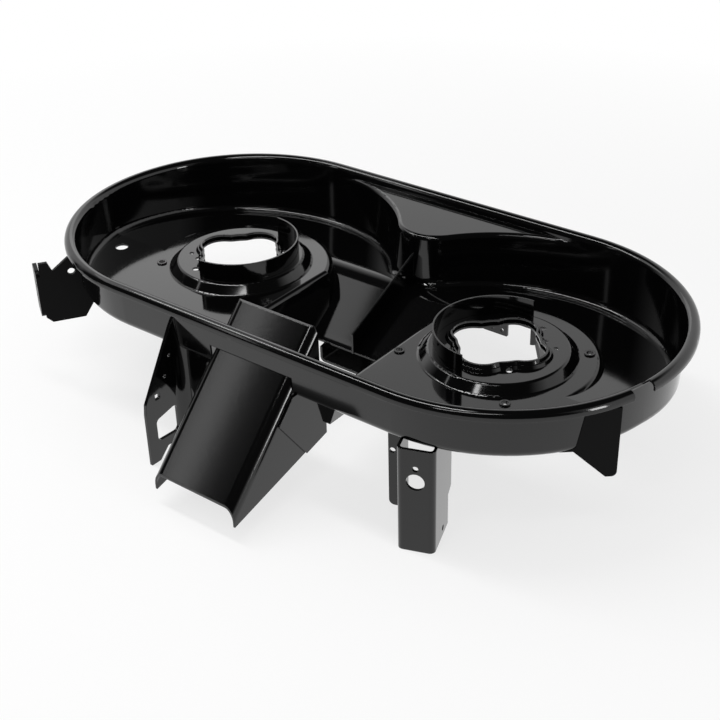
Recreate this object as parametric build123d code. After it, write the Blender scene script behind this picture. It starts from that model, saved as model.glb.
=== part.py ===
from build123d import *
import math
import os

# Pressed pan, measured from the rim plane down, the deck lying mouth up
sheet = 3.0
blade_length = 464.0
blade_clearance = 10.0
chamber_overlap = 7.5
wall_draft_angle = 3.0
foot_radius = 10.0
floor_depth = 75.0
roll_radius = 9.0
roll_skirt = 3.0

# Raised cusp at the back, between the two chambers
cusp_depth = 13.0
cusp_edge = 7.0
nose_radius = 60.0

# Tunnels round the chambers and the channel between them
tunnel_depth = 147.0
tunnel_width = 102.0
plateau_draft_angle = 9.5
channel_half_width = 107.0
channel_draft_angle = 19.0
channel_inset = 64.0
shoulder_radius = 9.0
run_start = 40.0
run_slope_angle = 5.5
fall_start = 108.0
fall_slope_angle = 24.0
fall_brow_radius = 80.0
fall_bend_radius = 90.0

# Spindle seats and their four-lobed openings
seat_depth = 62.0
seat_radius = 97.0
seat_draft_angle = 42.0
seat_edge = 5.0
opening_radius = 55.0
lobe_radius = 30.0
lobe_tip_radius = 69.0
lobe_blend = 25.0
lip_foot = (10.0, 7.0)
lip_crown = (5.5, 3.0)
lip_step_height = 4.5
lip_sheet = 2.5
bolt_circle_diameter = 130.0
bolt_hole = 8.5
locator_hole = 10.5
locator_radius = 77.5
locator_angle = 71.5
drain_hole = 7.0
drain_radius = 77.0
drain_angle = 30.0

# Holes and cuts of the pan
wash_port_hole = 20.0
wash_port_inset = 37.5
wash_port_angle = 199.7
fixing_hole = 9.0
fixing_wall = 3.0
fixing_rise = 2.0
fixing_inset = 17.0
fixing_angles = (-53.4, 35.5)
front_fixing_place = (13.6, 71.2)
chute_offset = 3.0
mouth_half_width = 72.0
mouth_gap = 5.0
bed_edge = 20.0
notch_angle = -15.5
notch_width = 34.0
notch_land = 7.0

# Half-ring collars on the seats
collar_radius = 90.0
collar_sheet = 2.5
collar_height = 29.0

# Centre baffle
baffle_sheet = 3.0
baffle_front = 24.0
baffle_front_depth = 113.0
baffle_angle = 24.4

# Chute ramp, one folded sheet, and the cheeks beside it
ramp_inset = 52.0
ramp_angle = 45.6
ramp_overhang = 126.0
ramp_bend = 16.0
ramp_sheet = 3.0
ramp_tip_height = 30.0
ramp_under_angle = 14.0
ramp_lap = 4.0
ramp_back_height = 116.0
ramp_back_length = 29.0
cheek_sheet = 3.0
cheek_reach = 30.0
cheek_drop = 29.0
cheek_seam_angle = 54.0

# Folded plate under the channel bed
saddle_width = 114.0
saddle_front = 30.0
saddle_length = 95.0
saddle_drop = 24.0
saddle_sheet = 4.0
saddle_bend = 8.0

# Level that every leg stands on, below the rim plane
stand_depth = 235.0

# Folded post right of the chute
post_place = 38.6
post_gap = 1.3
post_turn_angle = 20.0
post_width = 50.0
post_sheet = 4.0
post_bend = 8.0
post_right_side = 83.0
post_waist = 68.0
post_waist_depth = 189.0
post_waist_slant = 6.0
post_left_side = 50.0
post_flange = 23.5
post_flange_depth = 203.0
pin_hole = 24.0
pin_hole_depth = 126.0
cotter_hole = 8.0
cotter_hole_depth = 106.0
post_side_hole = (42.0, 223.0)
post_flange_hole = (18.0, 116.5)

# Angle bracket left of the chute: steps out from the front wall, with their depths
stay_place = 135.0
stay_sheet = 5.0
stay_bend = 18.0
stay_top_depth = 26.0
stay_brow = (14.0, 50.0)
stay_knee = (65.0, 136.0)
stay_ankle = (67.0, 152.0)
stay_leg = 17.0
stay_web_inset = 14.0
stay_web_depth = 205.0
stay_strut_rise = 16.0
stay_window_depth = 160.0
stay_window_angle = 12.0
stay_window_round = 7.0
stay_hole = 6.0
stay_holes = ((14.0, 80.0), (26.0, 108.0))
stay_square = 9.0
stay_square_place = (43.0, 132.0)
stay_web_arc = 58.0

# Back hangers under the tunnels, folded from sheet: an ear across the deck and a leg plate along it
hanger_place = (39.5, 77.0)
hanger_length = 70.0
hanger_sheet = 5.0
hanger_bend = 3.0
ear_width = 90.0
ear_step = 49.0
ear_step_depth = 130.0
ear_depth = 157.0
ear_hole = 6.0
ear_hole_pitch = 17.0
ear_hole_edge = 8.5
hanger_foot = 34.0
hanger_hole = 12.5
hanger_hole_rise = 26.0

# Wheel brackets on the walls: steps out from the wall, with their depths
wheel_sheet = 6.0
wheel_tuck = 26.0
wheel_hole = 11.0
left_wheel_angle = -123.0
left_wheel_bottom = 117.0
left_wheel_rim_depth = 16.0
left_wheel_dip = (39.0, 34.0)
left_wheel_lobe = (45.0, 19.0)
left_wheel_reach = 58.0
left_wheel_hole = (12.0, 39.0)
left_flange_width = 42.0
left_flange_top = 32.0
left_flange_bottom = 108.0
left_flange_round = 10.0
left_flange_hole = 7.0
left_flange_pitch = (15.0, 23.0)
right_wheel_bearing_angle = -35.3
right_wheel_turn_angle = 40.0
right_wheel_length = 55.5
right_wheel_top = 14.0
right_wheel_bottom = 114.0
right_wheel_toe = 14.0
right_return_depth = 55.0

# Values worked out from the sizes above
wall_radius = blade_length / 2 + blade_clearance
half = wall_radius - chamber_overlap
rim_radius = wall_radius + 2 * roll_radius
reach = 2 * (half + rim_radius)
plateau_radius = wall_radius - tunnel_width
channel_front = wall_radius - channel_inset
ramp_start = wall_radius - ramp_inset
ramp_reach = wall_radius + ramp_overhang
ramp_back = ramp_start - ramp_lap
under = floor_depth + sheet
front_wall = wall_radius + sheet
SIDES = {"left": -1, "right": 1}
DOWN = (0, 0, -1)
LOW = (Align.CENTER, Align.CENTER, Align.MIN)


def slope(angle):
    return math.tan(math.radians(angle))


def wall_at(depth, grow=0.0):
    """Wall radius at a depth below the rim plane."""
    return wall_radius + grow - (depth - roll_radius) * slope(wall_draft_angle)


def turned(outline):
    """Solid of revolution about Z of an outline drawn as radius and height."""
    return revolve(make_face(Plane.XZ * outline), Axis.Z)


def along_y(outline):
    """Long solid along Y of an outline drawn in X and Z."""
    return extrude(make_face(Plane.XZ * outline), amount=reach, both=True)


def along_x(outline, length):
    """Solid along X, centred, of an outline drawn in Y and Z."""
    return extrude(make_face(Plane.YZ * outline), amount=length / 2, both=True)


def at_spindles(shape):
    return Pos(-half, 0) * shape + Pos(half, 0) * mirror(shape, about=Plane.YZ)


def rounded(points, radii):
    """Closed outline with a radius at each named point."""
    return FilletPolyline(*points, radius=radii, close=True)


def basin(grow):
    """The open pan down to its flat floor, with a rounded foot."""
    top = -roll_radius
    floor = -floor_depth - grow
    rim = wall_radius + grow
    foot = wall_at(floor_depth + grow, grow)
    round_foot = foot_radius + grow
    end = turned(rounded([(0, top), (rim, top), (foot, floor), (0, floor)], [0, 0, round_foot, 0]))
    corners = [(-rim, top), (rim, top), (foot, floor), (-foot, floor)]
    middle = along_x(rounded(corners, [0, 0, round_foot, round_foot]), 2 * half)
    return Pos(-half, 0) * end + middle + Pos(half, 0) * end


def chamber_plan(grow):
    """Plan of the two chambers and the front, with the nose of the cusp rounded."""
    radius = wall_radius + grow
    plan = Pos(0, -radius / 2) * Rectangle(2 * half, radius)
    for side in SIDES.values():
        plan += Pos(side * half, 0) * Circle(radius)
    nose = [corner for corner in plan.vertices() if abs(corner.X) < sheet and corner.Y > 0]
    return fillet(nose, nose_radius - grow)


def sunk(plan, depth):
    """A plan at the foot of the roll carried down with the wall's draft."""
    drop = depth - roll_radius
    return extrude(Pos(0, 0, -roll_radius) * plan, amount=drop, dir=DOWN, taper=wall_draft_angle)


def cusp(grow):
    """Raised block at the back that parts the chambers, its upper edges rounded."""
    rise = floor_depth - cusp_depth
    block = Pos(0, rim_radius / 2, -floor_depth - grow) * Box(2 * half, rim_radius, rise, align=LOW)
    block -= sunk(chamber_plan(grow), tunnel_depth)
    top = block.faces().sort_by(Axis.Z)[-1]
    return fillet(top.edges().filter_by(GeomType.CIRCLE), cusp_edge - grow)


def tunnels(grow):
    """Deep runs round the chambers: a gentle run at the back that falls to the channel bed."""
    deep = sunk(chamber_plan(grow), tunnel_depth + grow)
    lean = math.radians(run_slope_angle)
    run = Plane((0, -run_start, -floor_depth), x_dir=(1, 0, 0), z_dir=(0, math.sin(lean), math.cos(lean)))
    back = deep & run * Pos(0, 0, -grow) * Box(2 * reach, 2 * reach, reach, align=LOW)
    back = fillet(back.faces().sort_by(Axis.Z)[0].edges(), foot_radius + grow)
    behind = (Align.CENTER, Align.MIN, Align.CENTER)
    back &= Pos(0, -2 * run_start) * Box(2 * reach, reach, reach, align=behind)
    centre = deep & fall(grow)
    length = channel_front + shoulder_radius + fall_start + brow_length()
    centre &= Pos(0, -channel_front - shoulder_radius) * Box(2 * half, length, reach, align=behind)
    return (back + centre) - islands(grow)


def brow_length():
    """How far the rounding of the fall's brow runs back into the run."""
    return fall_brow_radius * slope((fall_slope_angle + run_slope_angle) / 2)


def fall(grow):
    """Room above the floor that runs down to the back and, ahead of its brow, down to the channel bed."""
    bed = -tunnel_depth - grow
    brow = -floor_depth - (fall_start + run_start) * slope(run_slope_angle) - grow
    end = fall_start - (brow - bed) / slope(fall_slope_angle)
    back = brow - (reach - fall_start) * slope(run_slope_angle)
    outline = [(-reach, bed), (end, bed), (fall_start, brow), (reach, back), (reach, reach), (-reach, reach)]
    bends = [0, fall_bend_radius + grow, fall_brow_radius - grow, 0, 0, 0]
    return along_x(rounded(outline, bends), 2 * reach)


def islands(grow):
    """What stands up between the tunnels: the plateaus round the spindles and the front floor."""
    top = -floor_depth - grow
    bottom = -tunnel_depth - grow - sheet
    rise = top - bottom
    shoulder = shoulder_radius - grow
    brow = plateau_radius - grow
    disc = [(0, top), (brow, top), (brow + rise * slope(plateau_draft_angle), bottom), (0, bottom)]
    disc = turned(rounded(disc, [0, shoulder, 0, 0]))
    lean = slope(channel_draft_angle)
    bank = channel_half_width + grow / math.cos(math.radians(channel_draft_angle)) - grow * lean
    bank = [(-bank, top), (-bank + rise * lean, bottom), (-reach, bottom), (-reach, top)]
    bank = along_y(rounded(bank, [shoulder, 0, 0, 0]))
    ahead = (Align.CENTER, Align.MAX, Align.MIN)
    front = Pos(0, -run_start, bottom) * Box(2 * reach, reach, rise, align=ahead)
    front += Pos(0, 0, bottom) * Box(2 * half, reach, rise, align=ahead)
    plateau = (Pos(-half, 0) * disc + front) & bank
    stop = -channel_front - grow
    stop = [(stop, top), (stop, bottom), (-reach, bottom), (-reach, top)]
    stop = along_x(rounded(stop, [shoulder, 0, 0, 0]), 2 * reach)
    return plateau + mirror(plateau, about=Plane.YZ) + stop


def seat(grow):
    """Raised round seat of a spindle, with a rounded brow and foot."""
    top = -seat_depth - grow
    floor = -floor_depth - grow
    brow = seat_radius - grow
    foot = brow + (top - floor) * slope(seat_draft_angle)
    apron = foot + floor_depth - seat_depth
    base = floor - sheet
    outline = [(0, top), (brow, top), (foot, floor), (apron, floor), (apron, base), (0, base)]
    return turned(rounded(outline, [0, seat_edge - grow, seat_edge + grow, 0, 0, 0]))


def cavity(grow):
    """The hollow of the pan; grown by the sheet it is the pan's outer form."""
    return basin(grow) - cusp(grow) + tunnels(grow) - at_spindles(seat(grow))


def rim():
    """Rolled edge of the pan, a half tube with a short skirt, round the whole mouth."""
    middle = wall_radius + roll_radius
    tube = Circle(roll_radius) - Circle(roll_radius - sheet)
    tube &= Pos(0, roll_radius / 2) * Rectangle(2 * roll_radius, roll_radius)
    tube += Pos(roll_radius - sheet / 2, -roll_skirt / 2) * Rectangle(sheet, roll_skirt)
    section = Pos(middle, -roll_radius) * tube
    end = Pos(half, 0) * Rot(0, 0, -90) * revolve(Plane.XZ * section, Axis.Z, 180)
    straight = extrude(Plane.YZ * section, amount=half, both=True)
    return end + mirror(end, about=Plane.YZ) + straight + mirror(straight, about=Plane.XZ)


def polar(radius, angle, centre=(0.0, 0.0)):
    turn = math.radians(angle)
    return (centre[0] + radius * math.cos(turn), centre[1] + radius * math.sin(turn))


def lobe_places():
    return [polar(lobe_tip_radius - lobe_radius, angle) for angle in range(0, 360, 90)]


def opening_plan():
    """Four-lobed opening of a seat."""
    plan = Circle(opening_radius)
    for place in lobe_places():
        plan += Pos(*place) * Circle(lobe_radius)
    return fillet(plan.vertices(), lobe_blend)


def spindle_cutter():
    """Opening with its bolt holes, the locating hole and the drain hole."""
    plan = opening_plan()
    for angle in range(0, 360, 90):
        plan += Pos(*polar(bolt_circle_diameter / 2, angle + 45)) * Circle(bolt_hole / 2)
    for size, radius, angle in (
        (locator_hole, locator_radius, locator_angle),
        (drain_hole, drain_radius, drain_angle),
    ):
        plan += Pos(*polar(radius, angle)) * Circle(size / 2)
    return Pos(0, 0, -reach / 2) * extrude(plan, amount=reach)


def lip_form(inset, base):
    """Frusta in two steps that follow the opening and its lobes, standing on a base level."""
    lip = Part()
    for size, places in ((opening_radius, [(0, 0)]), (lobe_radius, lobe_places())):
        for step, (foot, crown) in enumerate((lip_foot, lip_crown)):
            rise = step * lip_step_height - base
            ring = Cone(size + foot - inset, size + crown - inset, lip_step_height, align=LOW)
            for place in places:
                lip += Pos(*place, rise) * ring
    return lip


def opening_lip():
    """Drawn edge round the opening, raised in two steps towards the mouth and hollow behind."""
    return lip_form(0.0, seat_depth) - lip_form(lip_sheet, seat_depth + sheet)


def at_each_spindle(shape):
    """A shape at the right spindle and the same turned half round at the left one."""
    return Pos(half, 0) * shape + Pos(-half, 0) * Rot(0, 0, 180) * shape


def fixings():
    """Plunged fixing holes of the floor: the raised rims and the cutters."""
    edge, ahead = front_fixing_place
    places = [(side * (channel_half_width + edge), -ahead) for side in SIDES.values()]
    for angle in fixing_angles:
        across, along = polar(plateau_radius - fixing_inset, angle)
        places += [(half + across, along), (-half - across, -along)]
    rims = Part()
    holes = Part()
    for place in places:
        rims += Pos(*place, -under) * Cylinder(fixing_hole / 2 + fixing_wall, sheet + fixing_rise, align=LOW)
        holes += Pos(*place, -under) * Cylinder(fixing_hole / 2, reach)
    return rims, holes


def mouth():
    """Cutter of the discharge opening, through the front wall, the floor and the channel bed."""
    top = (wall_radius - ramp_start) * slope(ramp_angle) - mouth_gap
    ahead = (Align.CENTER, Align.MAX, Align.MAX)
    return Pos(chute_offset, -bed_edge, -top) * Box(2 * mouth_half_width, reach, reach, align=ahead)


def rim_notch():
    """Cutter of the gap in the rolled edge at the right end."""
    land = Pos(wall_radius + notch_land, 0, -roll_radius) * Box(
        2 * roll_radius, notch_width, 4 * roll_radius, align=(Align.MIN, Align.CENTER, Align.CENTER)
    )
    return Pos(half, 0) * Rot(0, 0, notch_angle) * land


def deck_shell():
    rims, holes = fixings()
    port = Pos(*polar(wall_radius - wash_port_inset, wash_port_angle, (-half, 0)))
    port *= Cylinder(wash_port_hole / 2, reach)
    pan = cavity(sheet) - cavity(0.0) + rim() + rims + at_each_spindle(opening_lip())
    return pan - at_each_spindle(spindle_cutter()) - holes - port - mouth() - rim_notch()


def collar(side):
    """Half ring on the seat, open away from the middle of the deck."""
    section = Pos(collar_radius - collar_sheet / 2, collar_height / 2 - seat_depth)
    section *= Rectangle(collar_sheet, collar_height)
    ring = Rot(0, 0, side * 90) * revolve(Plane.XZ * section, Axis.Z, 180)
    return Pos(side * half, 0) * ring


def centre_baffle():
    """Upright plate from the nose of the cusp to the edge of the channel bed."""
    back = math.sqrt((wall_radius + nose_radius) ** 2 - half**2) - nose_radius
    high = (back + baffle_front) * slope(baffle_angle) - baffle_front_depth
    outline = [
        (-baffle_front, -baffle_front_depth),
        (back, high),
        (back, -tunnel_depth),
        (-baffle_front, -tunnel_depth),
    ]
    return along_x(Polyline(*outline, close=True), baffle_sheet) & (basin(0.0) - cusp(0.0) + tunnels(0.0))


def ramp_wedge(inset):
    """The ramp's form as a solid wedge; inset by the sheet it is what the fold leaves open."""
    angle = math.radians(ramp_angle)
    start = ramp_start - inset / math.sin(angle)
    drop = (ramp_reach - start) * slope(ramp_angle)
    tip = (ramp_reach - ramp_start) * slope(ramp_angle) + ramp_tip_height
    heel = ramp_back + ramp_back_length
    keel = tip - (ramp_reach - heel) * slope(ramp_under_angle)
    outline = [
        (-start, 0),
        (-ramp_reach - inset, -drop - inset * slope(ramp_angle)),
        (-ramp_reach - inset, -tip - reach * (inset > 0)),
        (-heel, -keel - reach * (inset > 0)),
        (-ramp_back + inset, -ramp_back_height - reach * (inset > 0)),
        (-ramp_back + inset, 0),
    ]
    wedge = along_x(Polyline(*outline, close=True), 2 * (mouth_half_width - inset))
    slant = wedge.faces().filter_by(lambda face: abs(face.normal_at().Y + math.sin(angle)) < 0.01)
    folds = slant[0].edges().filter_by(Axis.X, reverse=True)
    return fillet(folds, ramp_bend - inset)


def chute_ramp():
    return Pos(chute_offset, 0) * (ramp_wedge(0.0) - ramp_wedge(ramp_sheet))


def chute_cheek(side, form):
    """Plate that closes the side of the chute between the pan and the ramp's flange."""
    back = channel_front + sheet
    brow = front_wall + cheek_reach
    brow_depth = floor_depth + cheek_reach * slope(ramp_angle)
    seam = math.radians(cheek_seam_angle)
    tip = (ramp_reach - ramp_start) * slope(ramp_angle) + ramp_tip_height
    keel = ramp_reach * slope(ramp_under_angle) - tip
    foot = (brow_depth + keel + brow * math.tan(seam)) / (math.tan(seam) + slope(ramp_under_angle))
    outline = [
        (-back, -floor_depth),
        (-front_wall, -floor_depth),
        (-brow, -brow_depth),
        (-foot, keel - foot * slope(ramp_under_angle)),
        (-back, keel - back * slope(ramp_under_angle)),
    ]
    plate = along_x(Polyline(*outline, close=True), cheek_sheet)
    return Pos(chute_offset + side * (mouth_half_width + cheek_sheet / 2), 0) * plate - form


def trough(width, depth, thickness, bend):
    """Section of a sheet folded to a trough, its mouth upwards at the origin."""
    outer = width / 2
    inner = outer - thickness
    bed = thickness - depth
    outside = rounded([(-outer, 0), (-outer, -depth), (outer, -depth), (outer, 0)], [0, bend, bend, 0])
    bend -= thickness
    inside = rounded([(-inner, 0), (-inner, bed), (inner, bed), (inner, 0)], [0, bend, bend, 0])
    return make_face(outside) - make_face(inside)


def channel_saddle(form):
    """Folded plate welded under the channel bed, its sides cut to the slope of the floor."""
    section = trough(saddle_width, saddle_drop + tunnel_depth - floor_depth, saddle_sheet, saddle_bend)
    return Pos(0, -saddle_front, -under) * extrude(Plane.XZ * section, amount=-saddle_length) - form


def front_post():
    """Post folded from sheet: a web facing forward, a deep right side and a left side with a flange."""
    edge = post_width / 2
    inner = edge - post_sheet
    wing = edge + post_flange
    right, left = post_right_side, post_left_side
    outside = [(edge, right), (edge, 0), (-edge, 0), (-edge, left - post_sheet), (-wing, left - post_sheet)]
    inside = [(-wing, left), (-inner, left), (-inner, post_sheet), (inner, post_sheet), (inner, right)]
    fold = post_bend - post_sheet
    bends = [0, post_bend, post_bend, fold, 0, 0, post_bend, fold, fold, 0]
    section = make_face(rounded(outside + inside, bends))
    post = Pos(0, 0, -stand_depth) * extrude(section, amount=stand_depth - under)
    outline = [
        (0, -under),
        (right, -under),
        (right, post_waist_slant - post_waist_depth),
        (post_waist, -post_waist_depth),
        (post_waist, -stand_depth),
        (0, -stand_depth),
    ]
    post &= along_x(Polyline(*outline, close=True), 2 * wing)
    front = [(-wing, -under), (edge, -under), (edge, -stand_depth), (-edge, -stand_depth)]
    front += [(-edge, -post_flange_depth), (-wing, -post_flange_depth)]
    post &= along_y(rounded(front, [0, 0, 0, 0, 0, post_bend]))
    for size, depth in ((pin_hole, pin_hole_depth), (cotter_hole, cotter_hole_depth)):
        post -= Pos(0, 0, -depth) * Rot(90, 0, 0) * Cylinder(size / 2, 2 * post_bend)
    back, depth = post_side_hole
    post -= Pos(edge, back, -depth) * Rot(0, 90, 0) * Cylinder(cotter_hole / 2, 2 * post_bend)
    out, depth = post_flange_hole
    post -= Pos(-edge - out, left, -depth) * Rot(90, 0, 0) * Cylinder(cotter_hole / 2, 2 * post_bend)
    return Pos(half + post_place, -front_wall - post_gap) * Rot(0, 0, post_turn_angle) * post


def chute_side_bracket(form):
    """Angle bracket left of the chute: a side plate with its leg, folded to a web behind the chute."""
    face = front_wall
    web = face - stay_web_inset
    reach_out = face + stay_ankle[0]
    outer = stay_place + stay_sheet
    inside = mouth_half_width + cheek_sheet - chute_offset
    plan = [(-outer, -reach_out), (-outer, -web), (-inside, -web)]
    back = [(-inside, -web - stay_sheet), (-stay_place, -web - stay_sheet), (-stay_place, -reach_out)]
    angle = make_face(rounded(plan + back, [0, stay_bend + stay_sheet, 0, 0, stay_bend, 0]))
    angle = Pos(0, 0, -stand_depth) * extrude(angle, amount=stand_depth)
    leg = reach_out - stay_leg
    outline = [
        (-web, -stay_top_depth),
        (-face, -stay_top_depth),
        (-face - stay_brow[0], -stay_brow[1]),
        (-face - stay_knee[0], -stay_knee[1]),
        (-reach_out, -stay_ankle[1]),
        (-reach_out, -stand_depth),
        (-leg, -stand_depth),
        (-leg + stay_leg, stay_strut_rise - stand_depth),
        (-web, -stay_web_depth - stay_strut_rise),
    ]
    bracket = angle & along_x(Polyline(*outline, close=True), 2 * outer)
    near = web + stay_sheet + stay_bend
    low = stand_depth - 2 * stay_strut_rise
    window = [
        (-leg, -stay_window_depth - (leg - near) * slope(stay_window_angle)),
        (-near, -stay_window_depth),
        (-near, -stay_web_depth),
        (-leg, -low),
    ]
    bracket -= Pos(-stay_place) * along_x(rounded(window, stay_window_round), 4 * stay_sheet)
    for out, depth in stay_holes:
        hole = Rot(0, 90, 0) * Cylinder(stay_hole / 2, 4 * stay_sheet)
        bracket -= Pos(-stay_place, -face - out, -depth) * hole
    out, depth = stay_square_place
    bracket -= Pos(-stay_place, -face - out, -depth) * Box(4 * stay_sheet, stay_square, stay_square)
    bracket -= Pos(-inside, -web, -stay_web_depth) * Rot(90, 0, 0) * Cylinder(stay_web_arc, 4 * stay_sheet)
    return bracket - form


def hanger(form):
    """Right back hanger, an angle: a stepped ear across the deck and a leg plate that runs back."""
    across, inset = hanger_place
    outer = hanger_sheet
    leg = [(0, 0), (0, hanger_length), (-outer, hanger_length), (-outer, outer)]
    ear = [(-ear_width, outer), (-ear_width, 0)]
    angle = make_face(rounded(leg + ear, [hanger_bend + outer, 0, 0, hanger_bend, 0, 0]))
    angle = Pos(0, 0, -stand_depth) * extrude(angle, amount=stand_depth - floor_depth)
    knee = hanger_bend + outer
    outline = [
        (0, -floor_depth),
        (hanger_length, -floor_depth),
        (hanger_length, -stand_depth),
        (hanger_length - hanger_foot, -stand_depth),
        (knee, -ear_depth),
        (0, -ear_depth),
    ]
    angle &= along_x(Polyline(*outline, close=True), 2 * ear_width)
    ahead = (Align.MAX, Align.CENTER, Align.MAX)
    angle -= Pos(-knee, 0, -ear_step_depth) * Box(ear_step - knee, 2 * knee, reach, align=ahead)
    for step in (0, 1):
        place = Pos(-ear_step - ear_hole_edge - step * ear_hole_pitch, 0, ear_hole_edge - ear_depth)
        angle -= place * Rot(90, 0, 0) * Cylinder(ear_hole / 2, 4 * outer)
    foot = Pos(0, hanger_length - hanger_foot / 2, hanger_hole_rise - stand_depth)
    angle -= foot * Rot(0, 90, 0) * Cylinder(hanger_hole / 2, 4 * outer)
    return Pos(half - across, wall_radius - inset) * angle - form


def left_wheel_bracket(form):
    """Plate that stands out from the wall, with a holed flange across its end."""
    end = front_wall + left_wheel_reach
    root = front_wall - wheel_tuck
    dip, lobe = left_wheel_dip, left_wheel_lobe
    outline = [
        (root, -left_wheel_rim_depth),
        (rim_radius, -left_wheel_rim_depth),
        (front_wall + dip[0], -dip[1]),
        (front_wall + lobe[0], -lobe[1]),
        (end, -lobe[1]),
        (end, -left_flange_bottom),
        (end - left_wheel_bottom + left_flange_bottom, -left_wheel_bottom),
        (root + wheel_tuck, -left_wheel_bottom),
        (root, -under),
    ]
    plate = extrude(make_face(Plane.XZ * Polyline(*outline, close=True)), amount=wheel_sheet / 2, both=True)
    out, depth = left_wheel_hole
    plate -= Pos(front_wall + out, 0, -depth) * Rot(90, 0, 0) * Cylinder(wheel_hole / 2, 2 * wheel_sheet)
    height = left_flange_bottom - left_flange_top
    face = RectangleRounded(left_flange_width, height, left_flange_round)
    pitch = left_flange_pitch
    with_holes = face - [place * Circle(left_flange_hole / 2) for place in GridLocations(*pitch, 2, 2)]
    centre = (left_flange_bottom + left_flange_top) / 2
    flange = Plane.YZ * with_holes
    flange = extrude(flange, amount=wheel_sheet)
    plate += Pos(end, -(left_flange_width - wheel_sheet) / 2, -centre) * flange
    return Pos(-half, 0) * Rot(0, 0, left_wheel_angle) * plate - form


def right_wheel_bracket(form):
    """Plain plate that leaves the wall aslant, with a return at its end that closes on the wall."""
    bottom = -right_wheel_bottom
    end = right_wheel_length
    toe = right_wheel_toe
    outline = [
        (-wheel_tuck, -right_wheel_top),
        (end, -right_wheel_top),
        (end, bottom),
        (end - toe, bottom),
        (0, -floor_depth),
        (-wheel_tuck, -floor_depth),
    ]
    plate = make_face(rounded(outline, [0, 0, toe / 2, 0, 0, 0]))
    plate = extrude(Plane.XZ * plate, amount=wheel_sheet / 2, both=True)
    turn_in = Pos(end - wheel_sheet / 2, wheel_tuck / 2, -right_return_depth)
    plate += turn_in * Box(wheel_sheet, wheel_tuck, right_return_depth - right_wheel_top, align=LOW)
    start = polar(wall_at(under), right_wheel_bearing_angle, (half, 0))
    return Pos(*start) * Rot(0, 0, right_wheel_turn_angle) * plate - form


def pieces():
    """Every piece of the deck, in the pan's own place, by its name."""
    form = cavity(sheet)
    made = {"deck_shell": deck_shell(), "centre_baffle": centre_baffle(), "chute_ramp": chute_ramp()}
    for name, side in SIDES.items():
        made[name + "_collar"] = collar(side)
        made[name + "_chute_cheek"] = chute_cheek(side, form)
    made["right_hanger"] = hanger(form)
    made["left_hanger"] = mirror(made["right_hanger"], about=Plane.YZ)
    made["channel_saddle"] = channel_saddle(form)
    made["front_post"] = front_post()
    made["chute_side_bracket"] = chute_side_bracket(form)
    made["left_wheel_bracket"] = left_wheel_bracket(form)
    made["right_wheel_bracket"] = right_wheel_bracket(form)
    return made


def main():
    os.makedirs("parts", exist_ok=True)
    stand = Pos(0, (ramp_reach - rim_radius) / 2, stand_depth)
    for name, shape in pieces().items():
        export_step(stand * shape, "parts/" + name + ".step")


main()
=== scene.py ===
import math

import bpy
from mathutils import Matrix, Vector


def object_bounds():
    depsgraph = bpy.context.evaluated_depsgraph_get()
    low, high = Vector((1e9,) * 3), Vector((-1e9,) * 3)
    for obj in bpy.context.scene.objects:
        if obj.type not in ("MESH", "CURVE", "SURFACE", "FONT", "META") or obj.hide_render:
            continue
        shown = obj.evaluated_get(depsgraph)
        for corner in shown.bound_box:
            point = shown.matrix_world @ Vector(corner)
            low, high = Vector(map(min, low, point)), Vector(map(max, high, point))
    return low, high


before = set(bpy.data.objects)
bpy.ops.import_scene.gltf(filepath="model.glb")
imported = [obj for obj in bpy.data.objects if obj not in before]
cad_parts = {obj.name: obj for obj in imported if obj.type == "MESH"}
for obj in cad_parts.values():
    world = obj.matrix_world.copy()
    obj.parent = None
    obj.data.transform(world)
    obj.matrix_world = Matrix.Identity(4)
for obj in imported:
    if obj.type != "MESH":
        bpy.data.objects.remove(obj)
cad_low, cad_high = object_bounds()

# Picture: the square the deck is seen in, and where the eye stands, in metres and degrees
PICTURE_PX = 720
FOCAL_PX = 1326.2
SENSOR_MM = 36.0
EYE = (1.046, -1.2618, 1.0936)
EYE_AZIMUTH = 38.63
EYE_ELEVATION = 31.41
EYE_ROLL = -1.61

# Floor: lengths in metres; the shadow fades out between the two radii of its reach
FLOOR_SIDE = 14.0
FLOOR_DROP = 0.0005
FLOOR_TONE = (0.93, 0.93, 0.93, 1.0)
FLOOR_GLOW = 0.72
SHADOW_REACH = (0.8, 1.8)

# Surround: the mirrored sweep fades over these parts of a direction's height and depth
WHITE = (1.0, 1.0, 1.0, 1.0)
FILL_TONE = (0.5, 0.5, 0.5, 1.0)
SWEEP_TOP = (0.58, 0.70)
SWEEP_FRONT = (-0.30, 0.05)
ROOM_DARK = 0.03

# Black paint: heights and the edge's rounding in metres, scales in waves per metre
PAINT_TONE = (0.0015, 0.0015, 0.0016, 1.0)
PAINT_ROUGHNESS = 0.08
PAINT_IOR = 1.5
GLOSS_SPECULAR = 0.5
EDGE_ROUND = 0.001
EDGE_SAMPLES = 6
PEEL_SCALE = 240.0
PEEL_HEIGHT = 0.000006
SHEET_WAVE_SCALE = 6.0
SHEET_WAVE_HEIGHT = 0.00015
GRAIN_SCALE = (70.0, 300.0, 300.0)
GRAIN_HEIGHT = 0.000018
GRAIN_ROUGHNESS = 0.1
# Wheel brackets: a rougher copy of the black paint with far less shine, a painted shade that darkens
# them
SHADED_ROUGHNESS = 0.3
SHADED_SPECULAR = 0.08


def link(tree, source, target):
    tree.links.new(source, target)


def node(tree, kind, **values):
    """A shader node with its named inputs set."""
    made = tree.nodes.new(kind)
    for name, value in values.items():
        made.inputs[name.replace("_", " ")].default_value = value
    return made


def new_material(name):
    material = bpy.data.materials.new(name)
    material.use_nodes = True
    tree = material.node_tree
    shader = tree.nodes["Principled BSDF"]
    return material, tree, shader


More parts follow.
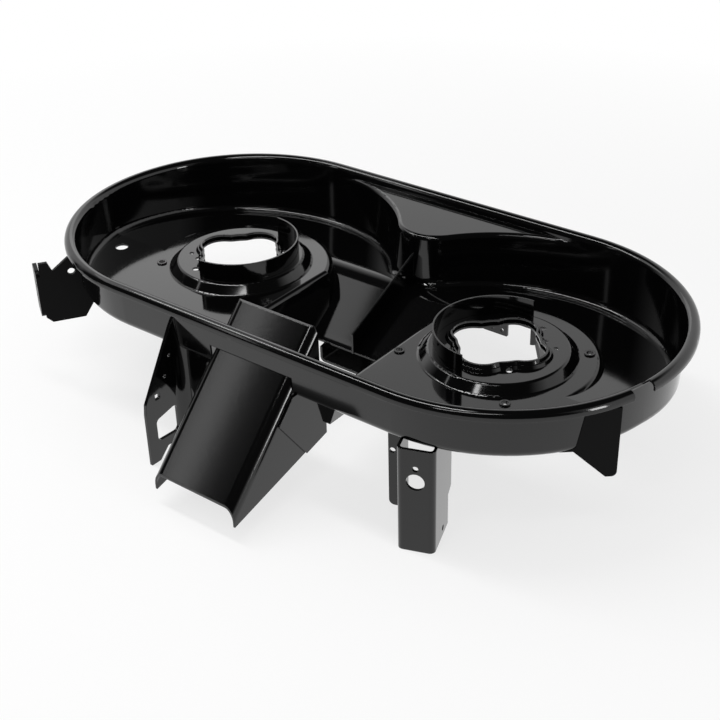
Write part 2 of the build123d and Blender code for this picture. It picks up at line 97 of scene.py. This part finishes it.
def paint_relief(tree, reliefs):
    """Normal of painted sheet: soft edges, then a noise relief per pair of scales and height."""
    coordinates = tree.nodes.new("ShaderNodeTexCoord")
    edge = tree.nodes.new("ShaderNodeBevel")
    edge.samples = EDGE_SAMPLES
    edge.inputs["Radius"].default_value = EDGE_ROUND
    normal = edge.outputs["Normal"]
    for scales, height in reliefs:
        stretch = node(tree, "ShaderNodeMapping", Scale=scales)
        waves = node(tree, "ShaderNodeTexNoise", Scale=1.0, Detail=1.0)
        bump = node(tree, "ShaderNodeBump", Strength=1.0, Distance=height)
        link(tree, coordinates.outputs["Object"], stretch.inputs["Vector"])
        link(tree, stretch.outputs["Vector"], waves.inputs["Vector"])
        link(tree, waves.outputs["Fac"], bump.inputs["Height"])
        link(tree, normal, bump.inputs["Normal"])
        normal = bump.outputs["Normal"]
    return normal


def black_paint(name, reliefs, roughness=PAINT_ROUGHNESS, specular=GLOSS_SPECULAR):
    """Black paint over the given reliefs."""
    material, tree, shader = new_material(name)
    shader.inputs["Base Color"].default_value = PAINT_TONE
    shader.inputs["Roughness"].default_value = roughness
    shader.inputs["IOR"].default_value = PAINT_IOR
    shader.inputs["Specular IOR Level"].default_value = specular
    link(tree, paint_relief(tree, reliefs), shader.inputs["Normal"])
    return material


def paint():
    """Gloss black all over, with a cross grain on the ramp and the wheel brackets in a duller copy
    whose low shine is painted shade.
    """
    waves = ((SHEET_WAVE_SCALE,) * 3, SHEET_WAVE_HEIGHT)
    peel = ((PEEL_SCALE,) * 3, PEEL_HEIGHT)
    gloss = black_paint("gloss_black_paint", (waves, peel))
    grain = (GRAIN_SCALE, GRAIN_HEIGHT)
    streaked = black_paint("streaked_black_paint", (peel, grain), GRAIN_ROUGHNESS)
    # Painted shade: the wheel brackets' copy of the paint reflects far less, so they look dark as if
    # in shade
    shaded_dull = black_paint("shaded_dull_black_paint", (peel,), SHADED_ROUGHNESS, SHADED_SPECULAR)
    special = {
        "chute_ramp": streaked,
        "left_wheel_bracket": shaded_dull,
        "right_wheel_bracket": shaded_dull,
    }
    for name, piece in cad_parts.items():
        piece.data.materials.clear()
        piece.data.materials.append(special.get(name, gloss))


def blend(tree, fac, first, second):
    """Mix of two shaders by a socket."""
    mix = tree.nodes.new("ShaderNodeMixShader")
    link(tree, fac, mix.inputs["Fac"])
    link(tree, first.outputs[0], mix.inputs[1])
    link(tree, second.outputs[0], mix.inputs[2])
    return mix


def fall(tree, start, end, first, last):
    """Node that takes a value between start and end to one between first and last."""
    return node(
        tree, "ShaderNodeMapRange",
        From_Min=start, From_Max=end, To_Min=first, To_Max=last,
    )


def pale_floor():
    """White floor with a faint shadow round the deck, plain white beyond and in reflections."""
    level = cad_low.z - FLOOR_DROP
    bpy.ops.mesh.primitive_plane_add(size=FLOOR_SIDE, location=(0, 0, level))
    floor = bpy.context.object
    floor.name = "pale_floor"
    material, tree, shader = new_material("pale_floor")
    shader.inputs["Base Color"].default_value = FLOOR_TONE
    shader.inputs["Roughness"].default_value = 1.0
    shader.inputs["Specular IOR Level"].default_value = 0.0
    glow = node(tree, "ShaderNodeEmission", Color=WHITE, Strength=1.0)
    rays = tree.nodes.new("ShaderNodeLightPath")
    place = tree.nodes.new("ShaderNodeTexCoord")
    away = tree.nodes.new("ShaderNodeVectorMath")
    away.operation = "LENGTH"
    link(tree, place.outputs["Object"], away.inputs[0])
    near, far = SHADOW_REACH
    fade = fall(tree, near, far, FLOOR_GLOW, 1.0)
    link(tree, away.outputs["Value"], fade.inputs["Value"])
    share = tree.nodes.new("ShaderNodeMath")
    share.operation = "MAXIMUM"
    link(tree, fade.outputs["Result"], share.inputs[0])
    link(tree, rays.outputs["Is Glossy Ray"], share.inputs[1])
    mix = blend(tree, share.outputs[0], shader, glow)
    link(tree, mix.outputs[0], tree.nodes["Material Output"].inputs["Surface"])
    floor.data.materials.append(material)


def white_surround():
    """White to the eye, a soft grey fill, and in reflections a white sweep behind in a dark room."""
    world = bpy.data.worlds.new("white_surround")
    bpy.context.scene.world = world
    world.use_nodes = True
    tree = world.node_tree
    tree.nodes.clear()
    output = tree.nodes.new("ShaderNodeOutputWorld")
    rays = tree.nodes.new("ShaderNodeLightPath")
    way = tree.nodes.new("ShaderNodeTexCoord")
    parts = tree.nodes.new("ShaderNodeSeparateXYZ")
    link(tree, way.outputs["Generated"], parts.inputs[0])
    low, high = SWEEP_TOP
    below = fall(tree, low, high, 1.0, ROOM_DARK)
    link(tree, parts.outputs["Z"], below.inputs["Value"])
    front, back = SWEEP_FRONT
    behind = fall(tree, front, back, ROOM_DARK, 1.0)
    link(tree, parts.outputs["Y"], behind.inputs["Value"])
    sweep = tree.nodes.new("ShaderNodeMath")
    sweep.operation = "MINIMUM"
    link(tree, below.outputs["Result"], sweep.inputs[0])
    link(tree, behind.outputs["Result"], sweep.inputs[1])
    fill = node(tree, "ShaderNodeBackground", Color=FILL_TONE, Strength=1.0)
    mirrored = node(tree, "ShaderNodeBackground", Color=WHITE)
    link(tree, sweep.outputs[0], mirrored.inputs["Strength"])
    backdrop = node(tree, "ShaderNodeBackground", Color=WHITE, Strength=1.0)
    mix = blend(tree, rays.outputs["Is Glossy Ray"], fill, mirrored)
    mix = blend(tree, rays.outputs["Is Camera Ray"], mix, backdrop)
    link(tree, mix.outputs[0], output.inputs["Surface"])


def softbox(name, place, facing, along, length, width, radiance):
    """Rectangular lamp that shines along facing, its long side along the given way."""
    lamp = bpy.data.lights.new(name, "AREA")
    lamp.shape = "RECTANGLE"
    lamp.size = length
    lamp.size_y = width
    lamp.energy = radiance * math.pi * length * width
    holder = bpy.data.objects.new(name, lamp)
    bpy.context.scene.collection.objects.link(holder)
    back = -Vector(facing).normalized()
    side = Vector(along)
    side = (side - side.dot(back) * back).normalized()
    turn = Matrix((side, back.cross(side), back)).transposed()
    holder.matrix_world = Matrix.Translation(place) @ turn.to_4x4()


def studio():
    """Lamps placed where the deck's fillets, brows and flat floors mirror them to the eye."""
    softbox(
        "top_strip", place=(-0.8, -0.35, 2.0), facing=(0, 0, -1), along=(1, 0, 0),
        length=2.0, width=0.2, radiance=15.0,
    )
    softbox(
        "front_strip", place=(0.47, -1.3, 2.0), facing=(-0.2, 0.5, -1), along=(0.64, 0.77, 0),
        length=1.2, width=0.12, radiance=12.0,
    )
    softbox(
        "left_panel", place=(-1.85, -0.2, 2.0), facing=(0, 0, -1), along=(0, 1, 0),
        length=1.6, width=1.2, radiance=1.4,
    )
    softbox(
        "back_left_panel", place=(-2.45, 2.2, 1.65), facing=(2.45, -2.2, -1.5),
        along=(0.66, 0.75, 0), length=1.3, width=1.0, radiance=0.7,
    )
    softbox(
        "ramp_strip", place=(-2.14, -2.27, 2.0), facing=(2.14, 2.0, -1.9), along=(0, 0.7, 0.7),
        length=1.4, width=0.14, radiance=2.4,
    )
    softbox(
        "right_softbox", place=(2.2, -0.2, 0.5), facing=(-1, 0.1, -0.15), along=(0, 0, 1),
        length=0.8, width=0.3, radiance=12.0,
    )


def eye():
    """Camera at the picture's own angle, turned a little about its line of sight."""
    camera = bpy.data.cameras.new("eye")
    holder = bpy.data.objects.new("eye", camera)
    bpy.context.scene.collection.objects.link(holder)
    camera.sensor_width = SENSOR_MM
    camera.lens = FOCAL_PX * SENSOR_MM / PICTURE_PX
    azimuth, elevation = math.radians(EYE_AZIMUTH), math.radians(EYE_ELEVATION)
    back = Vector((
        math.sin(azimuth) * math.cos(elevation),
        -math.cos(azimuth) * math.cos(elevation),
        math.sin(elevation),
    ))
    across = Vector((0, 0, 1)).cross(back).normalized()
    up = back.cross(across)
    turn = Matrix((across, up, back)).transposed()
    roll = Matrix.Rotation(math.radians(EYE_ROLL), 3, "Z")
    holder.matrix_world = Matrix.Translation(EYE) @ (turn @ roll).to_4x4()
    bpy.context.scene.camera = holder


paint()
pale_floor()
white_surround()
studio()
eye()
bpy.context.scene.view_settings.view_transform = "Standard"
